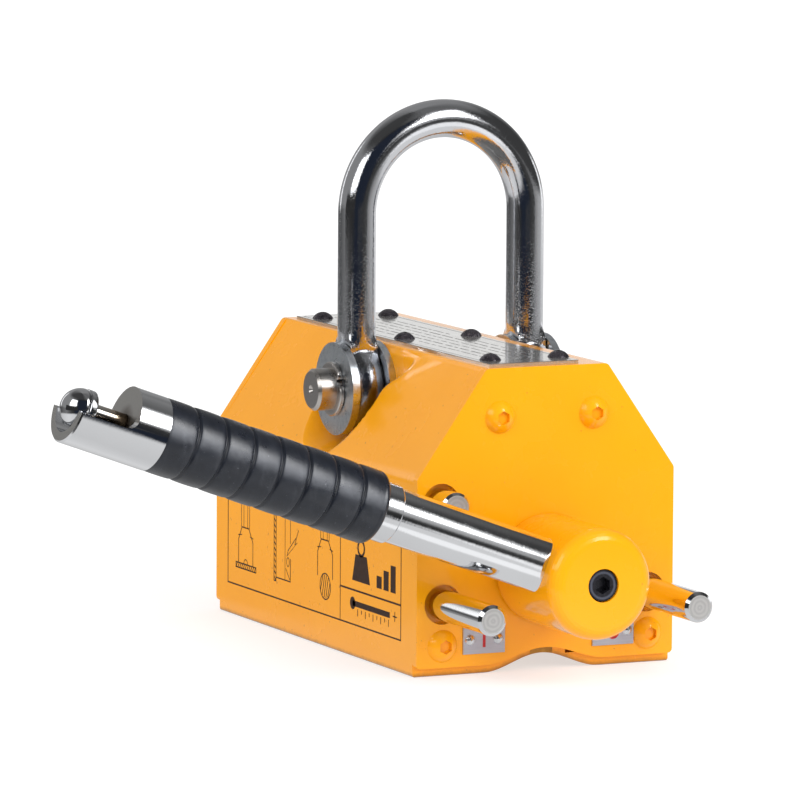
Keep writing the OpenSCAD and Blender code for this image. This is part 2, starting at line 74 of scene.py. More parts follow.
HALF_LEN, HALF_W, TOP = box("right_pole_shoe")[1]
ROTOR_Z = joint("handle_turn")["pos_m"][2] / MM
PIVOT_Z = joint("shackle_swing")["pos_m"][2] / MM
OUT = -Vector(joint("lock_push")["axis"]).normalized()  # outward along the handle
ROD = (box("lock_rod")[0] + box("lock_rod")[1]) / 2
HUB_AT = Vector((ROD.x, 0, ROTOR_Z))  # where the handle's axis meets the rotor's
UP = OUT.cross(Vector((1, 0, 0))) * -1  # the handle's upper side
HANDLE = Matrix.Translation(HUB_AT) @ Matrix((Vector((1, 0, 0)), UP, OUT)).transposed().to_4x4()


# ---- node trees
class Tree:
    """A material and short calls that add nodes to it; co and normal are the shaded point's."""

    def __init__(self, name, emission=False):
        self.material = bpy.data.materials.new(name)
        self.material.use_nodes = True
        self.tree = self.material.node_tree
        self.shader = self.tree.nodes["Principled BSDF"]
        if emission:
            self.shader = self.node("ShaderNodeEmission")
            self.link(self.shader.outputs[0], self.tree.nodes["Material Output"].inputs["Surface"])
        coords = self.node("ShaderNodeTexCoord")
        self.co, self.normal = coords.outputs["Object"], coords.outputs["Normal"]

    def node(self, kind, **kw):
        n = self.tree.nodes.new(kind)
        for k, v in kw.items():
            setattr(n, k, v)
        return n

    def link(self, a, b):
        self.tree.links.new(a, b)

    def feed(self, socket, v):
        if hasattr(v, "is_linked"):
            self.link(v, socket)
        else:
            socket.default_value = v

    def set(self, **kw):
        for k, v in kw.items():
            self.shader.inputs[k.replace("_", " ")].default_value = v

    def to(self, name, v):
        self.link(v, self.shader.inputs[name])

    def done(self, tone, rough):
        """The material, with its colour and roughness connected."""
        self.to("Base Color", tone)
        self.to("Roughness", rough)
        return self.material

    def math(self, op, a, b=0.0):
        n = self.node("ShaderNodeMath", operation=op)
        self.feed(n.inputs[0], a)
        self.feed(n.inputs[1], b)
        return n.outputs[0]

    def vec(self, op, a, b=(0, 0, 0), out=0):
        n = self.node("ShaderNodeVectorMath", operation=op)
        self.feed(n.inputs[0], a)
        self.feed(n.inputs[1], b)
        return n.outputs[out]

    def dot(self, v, axis):
        return self.vec("DOT_PRODUCT", v, tuple(axis), out=1)

    def wander(self, v, amount, *grain):
        """A number with a little noise added."""
        return self.math("ADD", v, self.math("MULTIPLY", self.noise(*grain), amount))

    def noise(self, scale, detail=3.0, rough=0.5, stretch=None, co=None):
        n = self.node("ShaderNodeTexNoise")
        n.inputs["Scale"].default_value = scale
        n.inputs["Detail"].default_value = detail
        n.inputs["Roughness"].default_value = rough
        src = co or self.co
        if stretch:
            mp = self.node("ShaderNodeMapping")
            mp.inputs["Scale"].default_value = stretch
            self.link(src, mp.inputs["Vector"])
            src = mp.outputs["Vector"]
        self.link(src, n.inputs["Vector"])
        return n.outputs["Fac"]

    def ramp(self, fac, stops):
        r = self.node("ShaderNodeValToRGB")
        els = r.color_ramp.elements
        while len(els) < len(stops):
            els.new(0.5)
        for e, (p, c) in zip(els, stops):
            e.position = p
            e.color = (c, c, c, 1) if isinstance(c, (int, float)) else (*c, 1)
        self.link(fac, r.inputs["Fac"])
        return r.outputs["Color"]

    def fit(self, fac, a, b, lo=0.3, hi=0.7, smooth=False):
        r = self.node("ShaderNodeMapRange", interpolation_type="SMOOTHSTEP" if smooth else "LINEAR")
        for k, v in zip(("From Min", "From Max", "To Min", "To Max"), (lo, hi, a, b)):
            r.inputs[k].default_value = v
        self.link(fac, r.inputs["Value"])
        return r.outputs["Result"]

    def mix(self, fac, a, b):
        n = self.node("ShaderNodeMix", data_type="RGBA")
        self.feed(n.inputs["Factor"], fac)
        for key, v in (("A", a), ("B", b)):
            s = next(i for i in n.inputs if i.name == key and i.type == "RGBA")
            self.feed(s, v if hasattr(v, "is_linked") else (*v, 1))
        return next(o for o in n.outputs if o.type == "RGBA")

    def blend(self, fac, a, b):
        """A number between a and b."""
        first = self.math("MULTIPLY", self.math("SUBTRACT", 1.0, fac), a)
        return self.math("ADD", first, self.math("MULTIPLY", fac, b))

    def bump(self, fac, distance, strength=1.0, prev=None):
        n = self.node("ShaderNodeBump")
        n.inputs["Strength"].default_value = strength
        n.inputs["Distance"].default_value = distance
        self.link(fac, n.inputs["Height"])
        if prev is not None:
            self.link(prev, n.inputs["Normal"])
        self.link(n.outputs["Normal"], self.shader.inputs["Normal"])
        return n.outputs["Normal"]

    def parts(self, v):
        s = self.node("ShaderNodeSeparateXYZ")
        self.link(v, s.inputs["Vector"])
        return s.outputs

    def radius(self, centre, axis):
        """Distance of the shaded point from a line."""
        off = self.vec("SUBTRACT", self.co, tuple(Vector(centre) * MM))
        return self.vec("LENGTH", self.vec("CROSS_PRODUCT", off, tuple(axis)), out=1)

    def leaning(self, lean):
        """The surface's normal, leaning a little."""
        g = self.node("ShaderNodeNewGeometry")
        return self.vec("NORMALIZE", self.vec("ADD", g.outputs["Normal"], lean), (0, 0, 0))

    def facing(self, axis):
        """1 where the surface faces along the axis, either way."""
        return self.fit(self.math("ABSOLUTE", self.dot(self.normal, axis)), 0.0, 1.0, 0.85, 0.97)


# ---- materials
def make_paint(name="paint_yellow", ground_z=None):
    """Glossy yellow enamel with orange peel, a few dust specks, and darker colour just above the bottom edges and
    the arch.
    Below ground_z, in metres, it is the ground steel of the pole faces."""
    m = Tree(name)
    m.set(IOR=1.36, Specular_IOR_Level=0.30, Coat_Weight=0.70, Coat_Roughness=0.05, Coat_IOR=1.42)
    tone = m.ramp(m.noise(24, 4, 0.6), [(0.30, (0.900, 0.352, 0.0020)), (0.70, (0.940, 0.375, 0.0030))])
    dust = m.fit(m.noise(620, 1.0, 0.3), 0.0, 0.55, 0.775, 0.80)
    tone = m.mix(dust, tone, (0.34, 0.15, 0.02))
    _, y, z = m.parts(m.co)
    across = m.math("MULTIPLY", m.math("ABSOLUTE", y), math.pi / (GROOVE_HALF * MM))
    across = m.math("MINIMUM", across, math.pi)
    arch = m.math("MULTIPLY", m.math("ADD", 1.0, m.math("COSINE", across)), GROOVE_H * MM / 2)
    above = m.wander(m.math("SUBTRACT", z, arch), 0.0014, 260, 4, 0.7)
    # darker colour in a narrow band just above the bottom edges and the arch
    tone = m.mix(m.fit(above, 0.80, 0.0, 0.0009, 0.0024), tone, (0.25, 0.10, 0.007))
    rough = m.fit(m.noise(70, 4), 0.20, 0.30)
    n1 = m.bump(m.noise(420, 2.0, 0.4), 0.00008, 0.42)
    m.bump(m.noise(1500, 2, 0.5), 0.00002, 0.28, n1)
    if ground_z:
        steel = m.fit(z, 1.0, 0.0, ground_z * 0.6, ground_z)
        hair = m.noise(900, 4, 0.7, stretch=(0.05, 1, 1))
        grain = m.ramp(hair, [(0.3, (0.34, 0.33, 0.32)), (0.7, (0.56, 0.55, 0.54))])
        tone = m.mix(steel, tone, grain)
        rough = m.blend(steel, rough, 0.36)
        m.to("Metallic", steel)
    return m.done(tone, rough)


CHROME_TONE = (0.80, 0.81, 0.83)
TUBE_LEAN = (0.0, -0.03, 0.07)  # the handle's shine sits a little low on it
FINE_RING = 0.00042  # pitch of the turning marks on a machined end, in metres


def metal(name):
    """A bare metal, to be given its colour and roughness."""
    m = Tree(name)
    m.set(Metallic=1.0)
    return m


def chrome_base(m, base, r0, r1, axis=None):
    """Tone and roughness of chrome plate; polished across axis where one is given."""
    tone = m.ramp(m.noise(36, 3), [(0.3, tuple(c * 0.95 for c in base)), (0.7, base)])
    rough = m.fit(m.noise(260, 4, 0.65), r0, r1, 0.35, 0.75)
    n1 = m.leaning(TUBE_LEAN) if axis else None
    n1 = m.bump(m.noise(95, 2.0, 0.5), 0.00006, 0.35, n1)
    n1 = m.bump(m.noise(1100, 3.0, 0.62), 0.000010, 0.75, n1)
    if axis:
        side = Vector(axis).orthogonal().normalized()
        run = m.node("ShaderNodeCombineXYZ")
        for way, socket in zip((axis, side * 0.16, Vector(axis).cross(side) * 0.16), run.inputs):
            m.feed(m.dot(m.co, way), socket)
        m.bump(m.noise(1300, 3.0, 0.6, co=run.outputs[0]), 0.000014, 0.9, n1)
    return tone, rough


def make_chrome(name="chrome", base=CHROME_TONE, r0=0.03, r1=0.10, axis=None):
    m = metal(name)
    return m.done(*chrome_base(m, base, r0, r1, axis))


def make_rod_chrome(wall):
    """The lock rod, stained gold and brown towards the bore it slides in, and darker right at the bore's mouth;
    the bore's mouth is wall metres along the handle."""
    m = metal("chrome_rod")
    tone, rough = chrome_base(m, (0.80, 0.79, 0.77), 0.06, 0.14)
    along = m.wander(m.dot(m.vec("SUBTRACT", m.co, tuple(HUB_AT * MM)), OUT), 0.004, 350, 4, 0.6)
    tone = m.mix(m.fit(along, 0.85, 0.10, wall + 0.004, wall + 0.012), tone, (0.46, 0.30, 0.15))
    # darker colour on the rod right next to the bore's mouth
    bore_darkening = m.fit(along, 0.9, 0.0, wall + 0.001, wall + 0.0055)
    dull = m.fit(along, 0.15, 0.0, wall, wall + 0.009)
    return m.done(m.mix(bore_darkening, tone, (0.07, 0.05, 0.035)), m.math("ADD", rough, dull))


def make_bar_chrome():
    """Chrome on a bent and polished bar: streaks that follow the bar round the bow, fine grains low on the legs,
    and dull eyes darkened with painted shade."""
    m = metal("chrome_shackle")
    x, y, z = m.parts(m.co)
    above = m.math("MAXIMUM", m.math("SUBTRACT", z, BOW_Z * MM), 0.0)
    out = m.math("SQRT", m.math("ADD", m.math("MULTIPLY", y, y), m.math("MULTIPLY", above, above)))
    turn = m.math("ARCTAN2", above, y)
    run = m.node("ShaderNodeCombineXYZ")
    m.feed(x, run.inputs[0])
    m.feed(out, run.inputs[1])
    m.feed(m.math("ADD", m.math("MULTIPLY", turn, 0.0012), m.math("MULTIPLY", z, 0.05)), run.inputs[2])
    low = m.fit(z, 1.0, 0.25, (PIVOT_Z + 14) * MM, (PIVOT_Z + 62) * MM)
    tone = m.ramp(m.noise(36, 3), [(0.3, (0.73, 0.74, 0.77)), (0.7, (0.79, 0.80, 0.83))])
    # painted shade: the eyes' colour is darkened in place of the dark they reflect between the washers
    eye = m.fit(m.wander(z, 0.004, 180, 3), 1.0, 0.0, (PIVOT_Z + 6) * MM, (PIVOT_Z + 16) * MM)
    tone = m.mix(m.math("MULTIPLY", eye, 0.85), tone, (0.20, 0.21, 0.24))
    rough = m.fit(m.noise(260, 4, 0.65), 0.035, 0.14, 0.35, 0.75)
    n = m.bump(m.noise(95, 2.0, 0.5), 0.00006, 0.5)
    n = m.bump(m.noise(1500, 2.0, 0.5, co=run.outputs[0]), 0.000012, 0.7, n)
    grain = m.math("MULTIPLY", m.fit(m.noise(2000, 2.0, 0.6), 0.0, 1.0, 0.50, 0.72), low)
    m.bump(grain, 0.00004, 0.8, n)
    return m.done(tone, m.math("ADD", rough, m.math("MULTIPLY", eye, 0.07)))


def make_turned(name, centre, axis, face, base=CHROME_TONE, r0=0.04, r1=0.13, ring=FINE_RING,
                face_rough=0.34, dip=0.62):
    """Chrome or steel whose end faces show fine rings round the axis, dip dark between them."""
    m = metal(name)
    tone, rough = chrome_base(m, base, r0, r1)
    wave = turned_rings(m, m.radius(centre, axis), ring)
    return finish_ends(m, tone, rough, wave, axis, face, face_rough, dip)


def turned_rings(m, r, ring):
    """A wave of slightly uneven rings, ring metres apart; r is the distance from their axis."""
    return m.math("SINE", m.math("MULTIPLY", m.wander(r, ring * 0.7, 300, 2), math.tau / ring))


def finish_ends(m, tone, rough, wave, axis, face, face_rough, dip, bore_darkening=None):
    """The material with a wave of light and dark over the faces that look along the axis."""
    end = m.facing(axis)
    lit = m.fit(wave, dip, 1.0, -1, 1)
    dark = m.math("MULTIPLY", m.math("SUBTRACT", 1.0, lit), 1.6)
    face_tone = m.mix(dark, face, tuple(c * 0.45 for c in face))
    # bore_darkening, where given, darkens the faces round the bore
    if bore_darkening:
        face_tone = m.mix(bore_darkening, face_tone, (0.085, 0.060, 0.045))
    return m.done(m.mix(end, tone, face_tone), m.blend(end, rough, face_rough))


def make_sleeve(centre, axis, bore):
    """The grip sleeve's chrome: rings in its open end, radial ridges outside the bore of bore metres, and darker
    colour round the rod."""
    m = metal("sleeve_chrome")
    tone, rough = chrome_base(m, CHROME_TONE, 0.04, 0.13, axis)
    r = m.radius(centre, axis)
    side = Vector(axis).orthogonal().normalized()
    off = m.vec("SUBTRACT", m.co, tuple(Vector(centre) * MM))
    angle = m.math("ARCTAN2", m.dot(off, Vector(axis).cross(side)), m.dot(off, side))
    spokes = m.math("SINE", m.math("MULTIPLY", angle, 110))
    wave = m.blend(m.fit(r, 0.0, 1.0, bore - 0.0001, bore), turned_rings(m, r, FINE_RING), spokes)
    # darker colour on the end face round the rod's hole
    bore_darkening = m.fit(m.wander(r, 0.0015, 400, 3), 0.85, 0.0, 0.0036, 0.0072)
    return finish_ends(m, tone, rough, wave, axis, (0.46, 0.45, 0.43), 0.42, 0.62, bore_darkening)


def make_zinc():
    """Dull blue-grey zinc plating: fine crystal mottling, a little polished."""
    m = metal("zinc_plate")
    stops = [(0.25, (0.50, 0.54, 0.59)), (0.5, (0.70, 0.74, 0.78)), (0.78, (0.84, 0.87, 0.90))]
    m.bump(m.noise(1600, 3, 0.6), 0.00002, 0.45)
    return m.done(m.ramp(m.noise(520, 5, 0.7), stops), m.fit(m.noise(300, 4), 0.24, 0.42))


def make_steel(name="turned_steel", base=(0.50, 0.48, 0.47)):
    """Plain turned steel."""
    m = metal(name)
    tone = m.ramp(m.noise(260, 4, 0.6), [(0.3, tuple(c * 0.78 for c in base)), (0.7, base)])
    m.bump(m.noise(300, 2, 0.5, stretch=(1, 14, 14)), 0.00002, 0.5)
    return m.done(tone, m.fit(m.noise(500, 3), 0.20, 0.36))


def make_black():
    """Blackened screws: near black with a purple-brown cast and pale specks at random, partly wear and partly
    painted glints.
    """
    m = Tree("black_oxide")
    m.set(Metallic=0.65, IOR=1.5)
    # pale specks in the colour: partly wear, partly painted glints
    wear_and_glints = m.fit(m.noise(900, 5, 0.7), 0.0, 1.0, 0.56, 0.72)
    tone = m.ramp(m.noise(500, 4, 0.6), [(0.3, (0.030, 0.027, 0.034)), (0.7, (0.110, 0.098, 0.112))])
    tone = m.mix(m.math("MULTIPLY", wear_and_glints, 0.65), tone, (0.24, 0.20, 0.19))
    n = m.bump(m.noise(2200, 3, 0.6), 0.00003, 0.5)
    m.bump(m.noise(1300, 2, 0.6), 0.00007, 0.6, n)
    return m.done(tone, m.fit(m.noise(700, 3), 0.16, 0.34))


def make_hub_screw(centre, axis, head_r):
    """The hub screw's glossier black, with a pale blue-grey ring on its rim as a painted highlight."""
    m = Tree("screw_black")
    m.set(Metallic=0.55, IOR=1.5)
    r = m.wander(m.radius(centre, axis), 0.0002, 600, 2)
    tone = m.ramp(m.noise(500, 4, 0.6), [(0.3, (0.012, 0.012, 0.016)), (0.7, (0.034, 0.034, 0.042))])
    head = head_r * MM
    # painted highlight: a pale blue-grey ring on the head's rim
    outside = m.fit(r, 0.0, 1.0, head * 0.74, head * 0.82)
    rim = m.math("MULTIPLY", outside, m.fit(r, 1.0, 0.0, head * 0.88, head * 0.95))
    tone = m.mix(m.math("MULTIPLY", rim, 0.45), tone, (0.20, 0.22, 0.29))
    m.bump(m.noise(2200, 3, 0.6), 0.00003, 0.5)
    return m.done(tone, m.fit(m.noise(700, 3), 0.14, 0.28))


def make_rubber():
    """Slate-grey rubber grip, matt with fine pores and faint scuffs along it."""
    m = Tree("rubber_grip")
    m.set(IOR=1.50, Specular_IOR_Level=0.55)
    scuff = m.fit(m.noise(75, 5, 0.65, stretch=(1, 3, 1)), 0.0, 1.0, 0.54, 0.74)
    tone = m.ramp(m.noise(190, 5, 0.6), [(0.3, (0.0050, 0.0068, 0.0120)), (0.7, (0.010, 0.0128, 0.020))])
    pale = m.fit(m.noise(1300, 1.0, 0.3), 0.0, 0.5, 0.76, 0.80)
    tone = m.mix(m.math("ADD", m.math("MULTIPLY", scuff, 0.18), pale), tone, (0.085, 0.090, 0.105))
    n = m.bump(m.noise(2400, 3, 0.6), 0.00003, 0.40)
    m.bump(m.noise(140, 3, 0.5), 0.00008, 0.22, n)
    return m.done(tone, m.fit(m.noise(240, 4, 0.6), 0.25, 0.36))


def make_dull_brass():
    """The spacer between the poles: unpolished and stained."""
    m = Tree("dull_brass")
    m.set(Metallic=0.55)
    stops = [(0.3, (0.30, 0.13, 0.020)), (0.7, (0.56, 0.29, 0.055))]
    m.bump(m.noise(900, 3, 0.6), 0.00004, 0.5)
    return m.done(m.ramp(m.noise(300, 4, 0.7), stops), m.fit(m.noise(500, 3), 0.42, 0.60))


def make_brass():
    """The bright machined brass of the internal spacers."""
    m = metal("machined_brass")
    tone = m.ramp(m.noise(180, 4), [(0.3, (0.55, 0.36, 0.12)), (0.7, (0.72, 0.50, 0.20))])
    return m.done(tone, m.fit(m.noise(500, 3), 0.25, 0.4))


def make_sheet(name, base, metal, r0, r1, grain=(0.05, 1, 1)):
    """Brushed aluminium sheet."""
    m = Tree(name)
    m.set(Metallic=metal)
    hair = m.noise(1400, 3, 0.6, stretch=grain)
    tone = m.ramp(hair, [(0.3, tuple(c * 0.86 for c in base)), (0.7, base)])
    m.bump(m.noise(60, 2, 0.5), 0.00010, 0.25, m.bump(hair, 0.000010, 0.35))
    return m.done(tone, m.fit(m.noise(140, 4, 0.6), r0, r1))


def make_ink(name, base, rough=0.4):
    """Printing ink, a little uneven."""
    m = Tree(name)
    stops = [(place, tuple(c * k for c in base)) for place, k in ((0.30, 0.7), (0.75, 1.25))]
    return m.done(m.ramp(m.noise(900, 5, 0.7), stops), m.fit(m.noise(500, 3), rough, rough + 0.15))


# ---- measures
def shoe_measures():
    """Height of the eave, half width of the flat top and half width of the groove."""
    points = [v.co for v in NODES["right_pole_shoe"].data.vertices]
    near = 0.05
    eave = max(p.z for p in points if p.y > (HALF_W - near) * MM)
    top_half = max(p.y for p in points if p.z > (TOP - near) * MM)
    groove_half = min(p.y for p in points if p.z < near * MM)
    return eave / MM, top_half / MM, groove_half / MM


EAVE, TOP_HALF, GROOVE_HALF = shoe_measures()
LOW_SEAM = box("lower_pole_spacer")[1].y
HIGH_SEAM = box("shackle_block")[1].y
SEAM_H = box("lower_pole_spacer")[0].z  # height of the arch at the lower seam
GROOVE_H = SEAM_H * 2 / (1 + math.cos(math.pi * LOW_SEAM / GROOVE_HALF))
BORE_R = reach("front_bearing", Vector((0, 0, ROTOR_Z)), Vector((1, 0, 0)))[2]
WASHER_T = 2.4  # thickness of a washer
RECESS_FLOOR = box("inner_washers")[1].y - WASHER_T
WASHER_R = box("outer_washers")[1].z - PIVOT_Z
SHOE_BORE_R = 7.02  # the pin's holes, in the pole shoes and in the shackle's eyes
EYE_BORE_R = 7.08
BAR_R = 12.7 / 2  # the shackle's round bar
SHACKLE_HI = box("shackle")[1]
LEG_Y = SHACKLE_HI.y - BAR_R
BOW_Z = SHACKLE_HI.z - BAR_R - LEG_Y
ROD_R = 3.0
NOTCH = 19.1  # length of the thumb notch

PAINT = make_paint()
SHOE_PAINT = make_paint("paint_pole_shoes", ground_z=0.0002)
CHROME = make_chrome()
BAR_CHROME = make_bar_chrome()
ZINC = make_zinc()
STEEL = make_steel()
MAGNET = make_chrome("nickel", (0.55, 0.55, 0.57), 0.12, 0.25)
BLACK = make_black()
RUBBER = make_rubber()
BRASS = make_brass()
DULL_BRASS = make_dull_brass()
RIVET = make_steel("rivet_steel", (0.86, 0.85, 0.86))
LABEL = make_sheet("name_plate_sheet", (0.74, 0.73, 0.70), 0.85, 0.09, 0.16)
MARKER = make_sheet("marker_sheet", (0.55, 0.54, 0.60), 0.6, 0.28, 0.42, (1, 0.05, 1))
INK = make_ink("label_ink", (0.040, 0.014, 0.005), 0.6)
GREYINK = make_ink("plate_ink", (0.10, 0.095, 0.09))
RED = make_ink("marker_red", (0.50, 0.012, 0.018))
PIN_STEEL = make_turned("pin_steel", (0, 0, PIVOT_Z), (0, 1, 0), (0.60, 0.57, 0.55),
                        (0.58, 0.55, 0.52), 0.26, 0.38)

BY_SLOT = {"paint": PAINT, "chrome": CHROME, "steel": STEEL, "zinc": ZINC, "black_oxide": BLACK,
           "brass": BRASS, "magnet": MAGNET, "rubber": RUBBER, "label": LABEL}


def finish_of(node, material):
    """Gives a CAD node one material in place of its own."""
    NODES[node].data.materials.clear()
    NODES[node].data.materials.append(material)


def dress_nodes():
    """Each CAD node takes the material of its slot, and some then one of their own."""
    for sp in RECORD["subparts"]:
        if sp["node"] in NODES:
            finish_of(sp["node"], BY_SLOT[sp["material_slot"]])
    finish_of("marker_rivets", RIVET)
    finish_of("lower_pole_spacer", DULL_BRASS)
    for n in ("on_marker_plate", "off_marker_plate"):
        finish_of(n, MARKER)
    for n in ("left_stop_pin", "right_stop_pin", "safety_pin"):
        lo, hi = box(n)
        finish_of(n, make_turned(n + "_chrome", (lo + hi) / 2, (1, 0, 0), (0.95, 0.93, 0.91),
                                 ring=0.0014, face_rough=0.40, dip=0.84))
    ridges_from = reach("lock_knob", HUB_AT, OUT)[2] + 2.3
    finish_of("grip_sleeve", make_sleeve(HUB_AT, OUT, ridges_from * MM))
    finish_of("lock_rod", make_rod_chrome((reach("grip_sleeve", HUB_AT, OUT)[1] - NOTCH) * MM))
    finish_of("shackle_block", PAINT)
    lo, hi = box("hub_screw")
    finish_of("hub_screw", make_hub_screw((lo + hi) / 2, (1, 0, 0), (hi.z - lo.z) / 2))
    finish_of("handle_tube", make_chrome("tube_chrome", r0=0.05, r1=0.13, axis=OUT))
    finish_of("shackle_pin", PIN_STEEL)


def soften(node, width):
    """Rounds a CAD node's edges with a modifier; its mesh stays."""
    b = NODES[node].modifiers.new("edge", "BEVEL")
    b.width = width * MM
    b.segments = 3
    b.limit_method = "ANGLE"
    b.angle_limit = math.radians(28)
    b.use_clamp_overlap = True
    b.harden_normals = True


# ---- mesh helpers
def solid(name, verts, faces, clean):
    """An object from points in millimetres; clean merges points that coincide."""
    me = bpy.data.meshes.new(name)
    me.from_pydata([Vector(v) * MM for v in verts], [], faces)
    bm = bmesh.new()
    bm.from_mesh(me)
    if clean:
        bmesh.ops.remove_doubles(bm, verts=bm.verts, dist=1e-7)
        bmesh.ops.dissolve_degenerate(bm, edges=bm.edges, dist=1e-8)
    bmesh.ops.recalc_face_normals(bm, faces=bm.faces)
    return placed(name, me, bm)


def placed(name, me, bm):
    """Puts a finished bmesh into the scene."""
    bm.to_mesh(me)
    bm.free()
    ob = bpy.data.objects.new(name, me)
    COL.objects.link(ob)
    return ob


def piece(name, verts, faces, material, body, replaces=(), sharp=35):
    """A drawn piece that rides on a body and may stand in for CAD nodes."""
    ob = solid(name, verts, faces, True)
    shade(ob.data, sharp)
    ob.data.materials.append(material)
    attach(ob, body)
    if replaces:
        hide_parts(*replaces)
    return ob


def shade(me, sharp):
    """Smooth shading, with edges left sharp above an angle in degrees."""
    me.shade_smooth()
    me.set_sharp_from_angle(angle=math.radians(sharp))


def cut(ob, verts, faces, sharp):
    """Takes a closed solid out of a piece, for good."""
    tool = solid("cutter", verts, faces, False)
    mod = ob.modifiers.new("cut", "BOOLEAN")
    mod.operation, mod.solver, mod.object = "DIFFERENCE", "EXACT", tool
    bpy.context.view_layer.update()
    dg = bpy.context.evaluated_depsgraph_get()
    new = bpy.data.meshes.new_from_object(ob.evaluated_get(dg))
    ob.modifiers.remove(mod)
    old, ob.data = ob.data, new
    new.name = ob.name
    bpy.data.objects.remove(tool)
    bpy.data.meshes.remove(old)
    shade(ob.data, sharp)


def rings_to_faces(rings, close_along=False):
    """Quads and fans between rings of vertex numbers; a ring of one number is a pole."""
    faces = []
    pairs = list(zip(rings, rings[1:])) + ([(rings[-1], rings[0])] if close_along else [])
    for a, b in pairs:
        n = max(len(a), len(b))
        for k in range(n):
            j = (k + 1) % n
            quad = [a[k % len(a)], a[j % len(a)], b[j % len(b)], b[k % len(b)]]
            faces.append([v for i, v in enumerate(quad) if v not in quad[:i]])
    return faces


def lathe(profile, place, segments=96, closed=False):
    """Turns a profile of (radius, distance) round the Z axis of the place matrix."""
    verts, rings = [], []
    for r, s in profile:
        turns = 1 if r < 1e-6 else segments
        rings.append(list(range(len(verts), len(verts) + turns)))
        angles = [k * math.tau / turns for k in range(turns)]
        verts += [place @ Vector((r * math.cos(a), r * math.sin(a), s)) for a in angles]
    return verts, rings_to_faces(rings, closed)


def block(lo, hi):
    """A closed box between two corners, for cutting with."""
    verts = [(x, y, z) for x in (lo[0], hi[0]) for y in (lo[1], hi[1]) for z in (lo[2], hi[2])]
    return verts, [(0, 1, 3, 2), (4, 6, 7, 5), (0, 4, 5, 1), (2, 3, 7, 6), (0, 2, 6, 4), (1, 5, 7, 3)]


def arc(cx, cy, r, a0, a1, n):
    """Points of an arc in a plane, angles in degrees."""
    return [(cx + r * math.cos(math.radians(a0 + (a1 - a0) * i / n)),
             cy + r * math.sin(math.radians(a0 + (a1 - a0) * i / n))) for i in range(n + 1)]


def join(*solids):
    """One vertex list and one face list for several solids."""
    verts, faces = [], []
    for v, f in solids:
        faces += [[i + len(verts) for i in q] for q in f]
        verts += v
    return verts, faces


def smooth(t):
    """0 to 1 without a corner at either end."""
    t = min(max(t, 0.0), 1.0)
    return t * t * (3 - 2 * t)


def round_min(a, b, k):
    """The smaller of two numbers, blended over k where they meet."""
    h = max(k - abs(a - b), 0.0) / k
    return min(a, b) - h * h * k / 4


# ---- the two pole shoes
def groove(y):
    """Height of the arch between the pole faces."""
    return GROOVE_H * 0.5 * (1 + math.cos(math.pi * y / GROOVE_HALF)) if y < GROOVE_HALF else 0.0


def shoe_side(x, z):
    """Distance of the painted outside from the middle plane, with the shackle's recess sunk into it."""
    eave_round, gap, slope = 1.6, 2.6, 7.7  # gap: washer to wall; slope: the wall's height over its width
    crisp, pulled = 0.9, 4.2  # width of the lip: below the pin, and what it gains above
    slant = HALF_W - (z - EAVE) * (HALF_W - TOP_HALF) / (TOP - EAVE)
    y = round_min(HALF_W, slant, eave_round)
    bottom = min(RECESS_FLOOR, y)
    up = max(z - PIVOT_Z, 0.0)
    widen = 0.92 * up * smooth(up / 7)  # the mouth flares towards the top
    d = math.hypot(x, z - PIVOT_Z) if z < PIVOT_Z else abs(x) - widen
    lip = crisp + pulled * smooth(up / 9) * (1 if x > 0 else 0.75)
    wall = max((y - bottom) / slope, 0.05)
    q = (d - (WASHER_R + gap)) / (wall + lip)
    if q >= 1:
        return y
    if q <= 0:
        return bottom
    steep = (wall + lip) / wall if wall + lip < 5 * wall else 5.0
    return bottom + (y - bottom) * (1 - (1 - q) ** steep)


def spread(marks):
    """Numbers from (start, end, step) stretches."""
    out = []
    for a, b, step in marks:
        n = max(1, round(abs(b - a) / step))
        out += [a + (b - a) * i / n for i in range(n)]
    return out + [marks[-1][1]]


def pole_shoe(name, node, side):
    """One half of the body: its section swept along, finely where the recess bends it."""
    edge = 0.9
    xs = spread([(-72, -42, 6), (-42, -17, 0.55), (-17, 17, 1.0), (17, 48, 0.55), (48, 72, 6)])
    xs = [-HALF_LEN, -HALF_LEN + 0.3] + xs + [HALF_LEN - 0.3, HALF_LEN]
    zs = spread([(TOP - edge, EAVE + 3, 0.55), (EAVE + 3, EAVE - 3, 0.4), (EAVE - 3, 60, 1), (60, 6, 13)])
    zs.append(edge)
    bore_lo = -math.degrees(math.acos(LOW_SEAM / BORE_R))
    bore_hi = math.degrees(math.acos(HIGH_SEAM / BORE_R))
    inner = [(y, z + ROTOR_Z) for y, z in arc(0, 0, BORE_R, bore_lo, bore_hi, 22)]
    under = [(y, groove(y)) for y in spread([(GROOVE_HALF, LOW_SEAM, 1.2)])]
    verts, rings = [], []
    for x in xs:
        crown = shoe_side(x, TOP - edge)
        line = [(HIGH_SEAM, TOP), (crown - edge - 2, TOP)] + arc(crown - edge, TOP - edge, edge, 90, 12, 4)
        line += [(shoe_side(x, z), z) for z in zs]
        line += arc(HALF_W - edge, edge, edge, -15, -90, 4) + [(HALF_W - 6, 0)] + under + inner
        rings.append(list(range(len(verts), len(verts) + len(line))))
        verts += [(x, side * y, z) for y, z in line]
    faces = rings_to_faces(rings) + [rings[0][:], rings[-1][:]]
    ob = piece(name, verts, faces, SHOE_PAINT, BODY, (node,), 42)
    cut(ob, *lathe([(0, 20), (SHOE_BORE_R, 20), (SHOE_BORE_R, 50), (0, 50)], pin_place(side), 48), 42)
    if side > 0:
        # relief slot at the foot of the front face
        cut(ob, *block((HALF_LEN - 5, 8.6, 4.8), (HALF_LEN + 2, 12.2, 6.3)), 42)
    return ob


def pin_place(side):
    """Z runs along the shackle pin, out of the body on the given side."""
    return Matrix.Translation((0, 0, PIVOT_Z)) @ Matrix.Rotation(math.radians(-90 * side), 4, "X")


